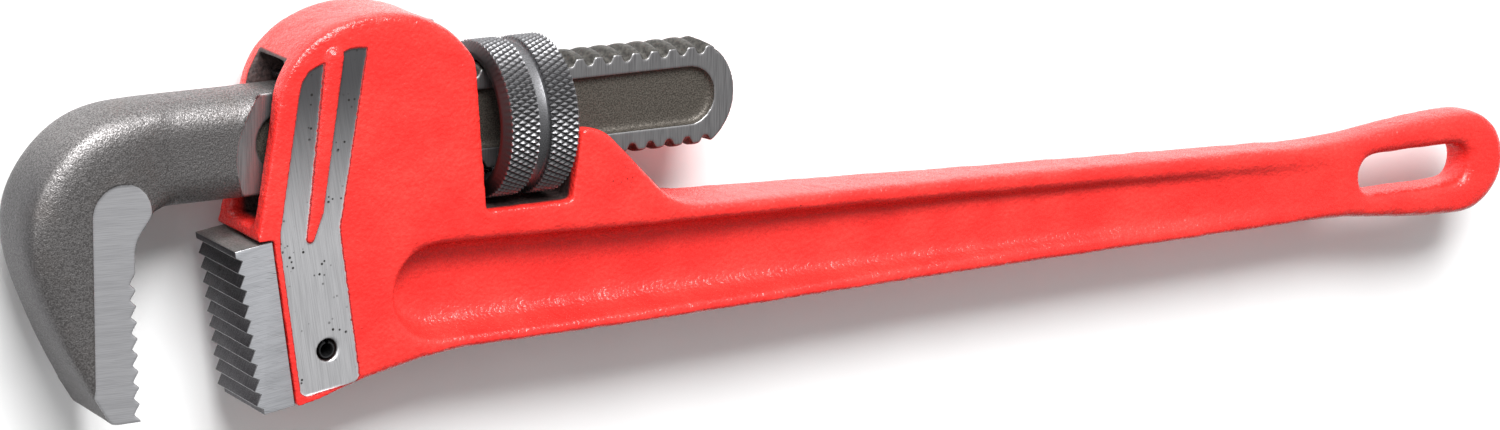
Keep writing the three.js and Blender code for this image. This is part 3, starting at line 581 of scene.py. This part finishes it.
def plain_steel_material(name, dark, light, bump_depth=0.012, metallic=1.0):
    nodes = Nodes(name)
    grain = nodes.noise(0.4, 3)
    broad = nodes.noise(4, 2)
    both = nodes.math("ADD", nodes.math("MULTIPLY", grain, 0.6), nodes.math("MULTIPLY", broad, 0.4))
    color = nodes.mix(nodes.ramp(both, 0.35, 0.65), dark, light)
    roughness = nodes.ramp(grain, 0.3, 0.7, 0.45, 0.28)
    return nodes.finish(color, roughness, nodes.bump(grain, bump_depth), metallic)


def blued_steel_material():
    nodes = Nodes("blued_spring_steel")
    grain = nodes.noise(0.5, 3)
    tint = nodes.noise(5, 2)
    color = nodes.mix(nodes.ramp(tint, 0.35, 0.65), (0.05, 0.06, 0.085), (0.095, 0.085, 0.09))
    roughness = nodes.ramp(grain, 0.3, 0.7, 0.38, 0.24)
    return nodes.finish(color, roughness, nodes.bump(grain, 0.01), 1.0)


# ---------- handle and head ----------


def rib_height(points):
    """How far the rounded rib between the ground strips stands above them, and the distance to its side."""
    best = np.full(len(points), -np.inf)
    beside = np.full(len(points), np.inf)
    for index in range(len(RIB_LINE) - 1):
        start, end = np.array(RIB_LINE[index]), np.array(RIB_LINE[index + 1])
        axis = end - start
        along = np.clip((points[:, :2] - start) @ axis / (axis @ axis), 0, 1)
        off_axis = np.linalg.norm(points[:, :2] - start - along[:, None] * axis, axis=1)
        half = RIB_HALF_WIDTHS[index] + along * (RIB_HALF_WIDTHS[index + 1] - RIB_HALF_WIDTHS[index])
        height = RIB_HEIGHTS[index] + along * (RIB_HEIGHTS[index + 1] - RIB_HEIGHTS[index])
        best = np.maximum(best, height * np.sqrt(np.clip(1 - (off_axis / half) ** 2, 0, 1)))
        beside = np.minimum(beside, off_axis - half)
    return best, beside


def seat_point(down, inward):
    """A place given down the heel jaw's seat and inward from it, towards the handle."""
    lean = math.radians(SEAT_LEAN)
    return (
        SEAT_TOP[0] + down * math.sin(lean) + inward * math.cos(lean),
        SEAT_TOP[1] - down * math.cos(lean) + inward * math.sin(lean),
    )


def ground_outline():
    """The flank beside the heel jaw and the leaning band above it; the rib is left out of it later."""
    far_side = GROUND_FROM_SEAT + GROUND_WIDTH
    left_foot = seat_point(GROUND_TOP, GROUND_FROM_SEAT)
    right_foot = seat_point(GROUND_TOP, far_side)

    def left(y, aside=0.0):
        return (left_foot[0] + BAND_LEANS[0] * (y - BAND_FOOT) + aside, y)

    def right(y, aside=0.0):
        return (right_foot[0] + BAND_LEANS[1] * (y - BAND_FOOT) + aside, y)

    left_side = [left_foot, left(BAND_FOOT)]
    crown = [left(y, aside) for y, aside in LEFT_BAND_CROWN]
    top = [right(y, aside) for y, aside in RIGHT_BAND_CROWN]
    right_side = [right(BAND_FOOT), right_foot, seat_point(GROUND_BOTTOM - 1.2, far_side)]
    foot = [
        seat_point(GROUND_BOTTOM, far_side - 1.0),
        seat_point(GROUND_BOTTOM, GROUND_FROM_SEAT + 1.0),
        seat_point(GROUND_BOTTOM - 1.0, GROUND_FROM_SEAT),
    ]
    return left_side + crown + top + right_side + foot


def recess_shade_share(x, y, side):
    """1 in the passage, the nut's window and the pin's hole, where the casting gets painted shade, 0 outside
    them.
    """
    passage = smoothstep(7.4, 6.8, side) * smoothstep(-66.5, -63.0, x) * smoothstep(12, 9, x)
    passage *= smoothstep(-18.4, -17.6, y) * smoothstep(21, 20, y)
    window_x = smoothstep(-14.5, -13.5, x) * smoothstep(15.5, 12.5, x)
    window = window_x * smoothstep(-20.6, -20.0, y) * smoothstep(9.6, 7.6, side) * smoothstep(22, 18, y)
    pin_low, pin_high = box_mm("heel_jaw_pin")
    pin = (pin_low + pin_high) / 2 - ORIGIN
    hole_radius = (pin_high[0] - pin_low[0]) / 2 + PIN_PLAY
    hole = smoothstep(hole_radius + 0.35, hole_radius + 0.1, np.hypot(x - pin[0], y - pin[1]))
    return np.maximum(np.maximum(passage, window), hole)


def casting_edges(x, y, side):
    """The edge radius that each point of the casting gets."""
    reach = np.full(len(x), CAST_EDGE)
    near_seat = smoothstep(-46, -54, x) * smoothstep(-15, -20, y)
    reach -= (CAST_EDGE - SEAT_EDGE) * near_seat
    window = between(WINDOW, 3, x) * smoothstep(-24, -19, y)
    reach -= (CAST_EDGE - WINDOW_EDGE) * window
    mouth = smoothstep(-55, -62, x) * smoothstep(-19, -15, y)
    reach -= (CAST_EDGE - MOUTH_EDGE) * mouth * (1 - near_seat)
    inside = smoothstep(8.5, 7.0, side) * between(PASSAGE, 4, x) * smoothstep(-22, -18, y)
    reach -= np.minimum(1.6 * inside, reach - INSIDE_EDGE)
    reach += (EYE_EDGE - CAST_EDGE) * smoothstep(235, 250, x)
    return np.maximum(reach, FINEST_EDGE)


def lay_ground(points):
    """Sinks the ground parts of the sides and sets the rib on them; also gives the distance to them."""
    ground = distance_to_outline(points, ground_outline())
    ribs, beside_rib = rib_height(points)
    ground = np.maximum(ground, -beside_rib)
    x, y, z = points.T
    side = np.abs(z)
    level = SIDE - SIDE_GROUND
    sunk = smoothstep(0.25, -0.15, ground)
    face = np.where(side > level, side + (level - side) * sunk, side)
    proud = (side > level - 1.2) & (beside_rib < 0)
    face = np.where(proud, np.minimum(side, level) + ribs, face)
    on_side = side > level - 2.5
    z = np.where(on_side, np.sign(z) * face, z)
    return np.stack([x, y, z], axis=1), np.where(on_side, ground, FAR_FROM_GROUND)


def roughen(piece, painted):
    """Raises the casting's lumps, as far at each point as its share in painted says."""
    texture = bpy.data.textures.new("casting_lumps", "CLOUDS")
    texture.noise_scale = LUMP_SIZE * MM
    texture.noise_depth = 1
    group = piece.vertex_groups.new(name="painted")
    steps = np.round(painted * GROUP_STEPS).astype(int)
    for step in range(1, GROUP_STEPS + 1):
        chosen = np.nonzero(steps == step)[0].tolist()
        if chosen:
            group.add(chosen, step / GROUP_STEPS, "REPLACE")
    lumps = piece.modifiers.new("lumps", "DISPLACE")
    lumps.texture = texture
    lumps.texture_coords = "LOCAL"
    lumps.strength = LUMP_HEIGHT * MM
    lumps.mid_level = 0.6
    lumps.vertex_group = "painted"
    apply_modifiers(piece)


def make_housing():
    piece = cad_copy("handle_housing", "handle_casting")
    remesh(piece, CAST_VOXEL)
    x, y, z = points_of(piece).T

    # The head's sides are made flat; the ground parts and the rib are laid over them below.
    head_side = (np.abs(z) > SIDE - SIDE_GROUND - 0.3) & (x < HEAD_END)
    z = np.where(head_side & (np.abs(z) < SIDE), np.sign(z) * SIDE, z)
    points = np.stack([x, y, z], axis=1)
    points = relax(piece, points, casting_edges(x, y, np.abs(z)), CAST_VOXEL)

    points, ground = lay_ground(points)
    set_points(piece, points)
    x, y, z = points.T
    store(piece, "ground", ground)
    # The 'inside' attribute holds where the casting gets painted shade.
    store(piece, "inside", recess_shade_share(x, y, np.abs(z)))
    store(piece, "pitted", smoothstep(6.5, 1.5, np.hypot(x - PITTED[0], y - PITTED[1])))
    roughen(piece, smoothstep(0.1, 1.2, ground))
    shade(piece)
    piece.data.materials.clear()
    piece.data.materials.append(enamel_material())
    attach(piece, "handle")
    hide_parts("handle_housing")


# ---------- hook jaw ----------


def pad_outline():
    """The milled pad beside the hook jaw's teeth, round at its top."""
    crown = arc(PAD_CENTRE, PAD_RADIUS, 0, 180)
    teeth_x = TEETH_X - 0.8
    throat = [
        (teeth_x, TEETH_TOP),
        (teeth_x, PAD_CENTRE[1] - 9),
        (teeth_x + 0.5, PAD_CENTRE[1] - 6.6),
        (teeth_x + 2.1, PAD_CENTRE[1] - 3.9),
        (teeth_x + 3.7, PAD_CENTRE[1] - 1.8),
    ]
    foot = [(PAD_LEFT, PAD_CENTRE[1] - 4.5), (PAD_LEFT, PAD_BOTTOM), (TEETH_X + 1, PAD_BOTTOM)]
    return throat + crown + foot


def hook_edges(x, y, side, pad, shank, in_pocket):
    """The edge radius that each point of the forging gets: large on the hook, hardly any where milled."""
    teeth = np.maximum(TEETH_X - 3.0 - x, y - TEETH_TOP - 0.5)
    on_arm = smoothstep(-96, -86, x)
    above_tip = smoothstep(-54, -28, y)
    rounded = HOOK_TIP_EDGE + HOOK_EXTRA_EDGE * above_tip - ARM_LESS_EDGE * on_arm
    reach = rounded * smoothstep(0.05, 1.6, np.minimum(pad, teeth))
    reach *= smoothstep(0.1, 2.0, shank)
    thread = (shank < 0) & (side < SHANK_HALF - 0.2) & (x > THREAD_START)
    reach = np.maximum(reach, np.where(thread, THREAD_EDGE, MILLED_EDGE))
    sunk = (in_pocket > -0.3) & (side < SHANK_HALF - 0.35)
    return np.maximum(reach, np.where(sunk, POCKET_EDGE, 0))


def make_hook():
    piece = cad_copy("hook_jaw", "hook_jaw_forging")
    remesh(piece, FORGED_VOXEL)
    points = points_of(piece)
    x, y, z = points.T

    # Distances to the milled pad and shank, negative on them, and into the shank's pocket.
    pad = np.maximum(distance_to_outline(points, pad_outline()), PAD_HALF - 1.2 - np.abs(z))
    run_out = np.hypot(x - RUN_OUT[0], y - RUN_OUT[1]) - RUN_OUT_RADIUS
    shank = np.minimum(run_out, RUN_OUT[0] - x)
    pocket_centre = np.clip(x, POCKET_ENDS[0] + POCKET_HALF, POCKET_ENDS[1] - POCKET_HALF)
    in_pocket = POCKET_HALF - np.hypot(x - pocket_centre, y - SHANK_RISE)

    reach = hook_edges(x, y, np.abs(z), pad, shank, in_pocket)
    points = relax(piece, points, reach, FORGED_VOXEL)
    set_points(piece, points)
    x, y, z = points.T
    side = np.abs(z)
    flat = np.minimum(0.12 - np.abs(side - SHANK_HALF), -shank)
    wall = np.minimum(0.3 - np.abs(run_out), side - SHANK_HALF)
    wall = np.where(x < RUN_OUT[0], wall, -1)
    milled_pad = np.minimum(0.22 - np.abs(side - PAD_HALF), -pad)
    sunk = (in_pocket > -0.5) & (side < SHANK_HALF - 0.2) & (shank < 0)
    store(piece, "milled", np.maximum(np.maximum(flat, wall), milled_pad))
    store(piece, "shank", x > -85)
    store(piece, "thread", (shank < 0) & (x > THREAD_START) & ~sunk & (side < SHANK_HALF - 0.15))
    store(piece, "pocket", sunk)
    shade(piece)
    piece.data.materials.clear()
    piece.data.materials.append(forged_material())
    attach(piece, "hook")
    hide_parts("hook_jaw")


# ---------- adjusting nut ----------


def knurl(x, angle):
    """Height of the diamond knurl, 0 in its grooves and 1 on its points."""
    around = angle * NUT_STARTS / (2 * math.pi)
    pitch = 2 * math.pi * NUT_RADIUS / NUT_STARTS
    along = x * math.tan(math.radians(NUT_KNURL_ANGLE)) / pitch
    heights = [1 - np.abs(2 * ((around + sign * along) % 1) - 1) for sign in (1, -1)]
    return np.minimum(np.minimum(*heights) * NUT_KNURL_FLATTENING, 1)


def thread_radius(x, angle):
    """Radius of the nut's inner thread, which clears the shank's."""
    phase = ((x - THREAD_CREST_AT) / THREAD_PITCH - angle / (2 * math.pi)) % 1
    slope = np.clip((np.abs(phase - 0.5) - THREAD_FLAT) / THREAD_FLANK, 0, 1)
    return NUT_BORE - NUT_THREAD_PLAY - THREAD_DEPTH * (1 - slope)


def make_nut():
    count = NUT_STARTS * NUT_SAMPLES
    angle = np.arange(count) * 2 * math.pi / count
    rim = NUT_HALF_WIDTH - NUT_CHAMFER_WIDTH
    wall = NUT_GROOVE_WIDTH / 2
    floor = NUT_RADIUS - NUT_GROOVE_DEPTH
    step = 2 * math.pi * NUT_RADIUS / count / math.tan(math.radians(NUT_KNURL_ANGLE))
    band = np.append(np.arange(wall, rim, step), rim)
    rings, heights = [], []

    def ring(x, radius, height=0.0):
        radius = np.broadcast_to(radius, (count,))
        rings.append(np.stack([np.full(count, x), radius * np.cos(angle), radius * np.sin(angle)], 1))
        heights.append(np.broadcast_to(height, (count,)))

    def knurled(x):
        height = knurl(x, angle)
        ring(x, NUT_RADIUS - NUT_KNURL_DEPTH * (1 - height), height * 2 - 1)

    face = NUT_RADIUS - NUT_CHAMFER_DEPTH
    bore_edge = NUT_BORE + NUT_BORE_RELIEF
    end_section = [
        (NUT_HALF_WIDTH, bore_edge),
        (NUT_HALF_WIDTH, face - 0.25),
        (NUT_HALF_WIDTH - 0.08, face),
        (rim + 0.15, NUT_RADIUS - NUT_KNURL_DEPTH - 0.15),
    ]
    for x, radius in end_section:
        ring(-x, radius, NUT_FACE_PAINTED_SHADE)
    for x in -band[::-1]:
        knurled(x)
    for share, rise in NUT_GROOVE_SECTION:
        ring(share * (wall - 0.1), floor + rise)
    for x in band:
        knurled(x)
    for x, radius in reversed(end_section):
        ring(x, radius)
    mouth = NUT_HALF_WIDTH - NUT_MOUTH
    ring(mouth, bore_edge)
    for x in np.arange(mouth - 0.05, -mouth, -THREAD_PITCH / THREAD_SAMPLES):
        ring(x, thread_radius(x, angle))
    ring(-mouth, bore_edge)
    mesh = lathe_rings(rings, closed=True)
    piece = add_piece("knurled_nut", mesh)
    made = bmesh.new()
    made.from_mesh(mesh)
    bmesh.ops.recalc_face_normals(made, faces=made.faces)
    made.to_mesh(mesh)
    made.free()
    store(piece, "knurl", np.concatenate(heights))
    shade(piece, 28)
    mesh.materials.append(nut_material())
    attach(piece, "nut")
    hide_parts("adjusting_nut")


# ---------- heel jaw and its pin ----------


def make_heel_jaw():
    piece = cad_copy("heel_jaw", "heel_jaw_insert")
    materials = [
        hardened_material(),
        ground_side_material(),
        plain_steel_material("worn_edge_steel", (0.20, 0.20, 0.21), (0.34, 0.34, 0.35)),
        plain_steel_material("jaw_top_steel", (0.11, 0.105, 0.10), (0.21, 0.205, 0.20), 0.04, 0.4),
    ]
    teeth, ground_side, worn_edge, jaw_top = range(len(materials))
    for material in materials:
        piece.data.materials.append(material)
    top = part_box("heel_jaw")[1][1] - 2 * MM
    for polygon in piece.data.polygons:
        polygon.material_index = teeth
        if abs(polygon.normal.z) > 0.9:
            polygon.material_index = ground_side
        elif polygon.normal.y > 0.95 and polygon.center.y > top:
            polygon.material_index = jaw_top
    bevel(piece, 0.16, edge_material=worn_edge)
    shade(piece, 30)
    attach(piece, "handle")
    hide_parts("heel_jaw")


def make_pin():
    """A rolled spring pin: a slit tube with chamfered ends."""
    low, high = box_mm("heel_jaw_pin")
    centre = (low + high) / 2 - ORIGIN
    radius = (high[0] - low[0]) / 2
    half = (high[2] - low[2]) / 2
    bore = radius - PIN_WALL
    chamfer = 0.3
    section = [
        (radius, -half + 2 * chamfer),
        (radius, half - 2 * chamfer),
        (radius - chamfer, half),
        (bore + chamfer / 2, half),
        (bore, half - chamfer),
        (bore, -half + chamfer),
        (bore + chamfer / 2, -half),
        (radius - chamfer, -half),
    ]
    turn = np.radians(np.linspace(PIN_SLIT / 2, 360 - PIN_SLIT / 2, 49) + 90)
    rings = [
        centre + np.array([(r * math.cos(angle), r * math.sin(angle), z) for r, z in section])
        for angle in turn
    ]
    mesh = lathe_rings(rings, closed=False)
    made = bmesh.new()
    made.from_mesh(mesh)
    bmesh.ops.holes_fill(made, edges=made.edges, sides=0)
    bmesh.ops.recalc_face_normals(made, faces=made.faces)
    made.to_mesh(mesh)
    made.free()
    piece = add_piece("spring_pin", mesh)
    shade(piece, 35)
    mesh.materials.append(plain_steel_material("pin_steel", (0.05, 0.05, 0.052), (0.12, 0.12, 0.125)))
    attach(piece, "handle")
    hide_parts("heel_jaw_pin")


# ---------- springs ----------


def make_leaf_and_rivet():
    leaf = cad_copy("flat_spring", "leaf_spring")
    bevel(leaf, 0.25)
    shade(leaf, 35)
    leaf.data.materials.append(blued_steel_material())
    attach(leaf, "spring_leaf")
    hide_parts("flat_spring")

    rivet = cad_copy("flat_spring_rivet", "leaf_spring_rivet")
    bevel(rivet, 0.25)
    shade(rivet, 35)
    rivet_steel = plain_steel_material("rivet_steel", (0.10, 0.10, 0.105), (0.20, 0.20, 0.21))
    rivet.data.materials.append(rivet_steel)
    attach(rivet, "handle")
    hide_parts("flat_spring_rivet")


def make_coil():
    """The coil spring, its end turns closed up against each other as they are wound."""
    low, high = box_mm("coil_spring")
    centre = (low + high) / 2 - ORIGIN
    radius = (high[0] - low[0]) / 2 - COIL_WIRE
    half = (high[1] - low[1]) / 2 - COIL_WIRE
    line = bpy.data.curves.new("coil", "CURVE")
    line.dimensions = "3D"
    line.bevel_depth = COIL_WIRE * MM
    line.bevel_resolution = 5
    line.use_fill_caps = True
    spline = line.splines.new("POLY")
    steps = COIL_STEPS * COIL_TURNS
    spline.points.add(steps)
    for step in range(steps + 1):
        share = step / steps
        angle = 2 * math.pi * COIL_TURNS * share
        rise = half * math.sin(math.pi * (share - 0.5))
        spot = centre + np.array([radius * math.cos(angle), rise, radius * math.sin(angle)])
        spline.points[step].co = (*metres(spot), 1)
    shape = bpy.data.objects.new("coil_line", line)
    bpy.context.scene.collection.objects.link(shape)
    depsgraph = bpy.context.evaluated_depsgraph_get()
    mesh = bpy.data.meshes.new_from_object(shape.evaluated_get(depsgraph))
    bpy.data.objects.remove(shape)
    piece = add_piece("lifting_coil", mesh)
    shade(piece, 60)
    mesh.materials.clear()
    mesh.materials.append(blued_steel_material())
    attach(piece, "handle")
    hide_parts("coil_spring")
    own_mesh(piece)


# ---------- floor, light and camera ----------


def make_floor():
    mesh = bpy.data.meshes.new("floor")
    size = FLOOR_HALF
    corners = [(-size, -size, 0), (size, -size, 0), (size, size, 0), (-size, size, 0)]
    mesh.from_pydata(corners, [], [(0, 1, 2, 3)])
    floor = add_piece("floor", mesh)
    nodes = Nodes("pale_floor")
    grain = nodes.noise(30, 2)
    color = nodes.mix(nodes.ramp(grain, 0.3, 0.7), (0.90, 0.90, 0.90), (0.92, 0.92, 0.92))
    mesh.materials.append(nodes.finish(color, 0.8, nodes.bump(grain, 0.01), 0.0))


def area_light(name, place, size, watts, target=(0, 0, 0)):
    light = bpy.data.lights.new(name, "AREA")
    light.shape = "RECTANGLE"
    light.size, light.size_y = size
    light.energy = watts
    lamp = bpy.data.objects.new(name, light)
    bpy.context.scene.collection.objects.link(lamp)
    lamp.location = place
    aim = Vector(target) - Vector(place)
    lamp.rotation_mode = "QUATERNION"
    lamp.rotation_quaternion = aim.to_track_quat("-Z", "Y")


def make_light():
    world = bpy.data.worlds.new("studio")
    bpy.context.scene.world = world
    world.use_nodes = True
    tree = world.node_tree
    background = tree.nodes["Background"]
    background.inputs["Color"].default_value = (1, 1, 1, 1)
    direction = tree.nodes.new("ShaderNodeTexCoord").outputs["Generated"]
    split = tree.nodes.new("ShaderNodeSeparateXYZ")
    tree.links.new(direction, split.inputs["Vector"])
    brightness = tree.nodes.new("ShaderNodeMapRange")
    brightness.inputs["From Min"].default_value = -1
    brightness.inputs["To Min"].default_value = WORLD_BRIGHTNESS[0]
    brightness.inputs["To Max"].default_value = WORLD_BRIGHTNESS[1]
    tree.links.new(split.outputs["Y"], brightness.inputs["Value"])
    tree.links.new(brightness.outputs["Result"], background.inputs["Strength"])
    area_light("key", (-0.25, 1.25, 1.15), (1.1, 0.8), 58)
    area_light("side", (-1.3, 0.2, 0.9), (0.9, 0.9), 3)
    bpy.context.scene.view_settings.view_transform = "Standard"


def make_camera():
    turn, rise, roll = (math.radians(a) for a in (CAMERA_TURN, CAMERA_RISE, CAMERA_ROLL))
    forward = Vector((math.sin(turn) * math.cos(rise), -math.sin(rise), -math.cos(turn) * math.cos(rise)))
    level = Vector((math.cos(turn), 0, math.sin(turn)))
    steep = level.cross(forward)
    right = level * math.cos(roll) + steep * math.sin(roll)
    up = right.cross(forward)
    data = bpy.data.cameras.new("camera")
    data.sensor_width = 36
    data.lens = CAMERA_LENS
    data.clip_start, data.clip_end = 0.05, 50
    camera = bpy.data.objects.new("camera", data)
    bpy.context.scene.collection.objects.link(camera)
    place = Vector(CAMERA_TARGET) - CAMERA_DISTANCE * forward
    axes = Matrix((right, up, -forward)).transposed()
    camera.matrix_world = Matrix.Translation(place) @ axes.to_4x4()
    bpy.context.scene.camera = camera


make_camera()
make_light()
make_floor()
make_housing()
make_hook()
make_nut()
make_heel_jaw()
make_pin()
make_leaf_and_rivet()
make_coil()
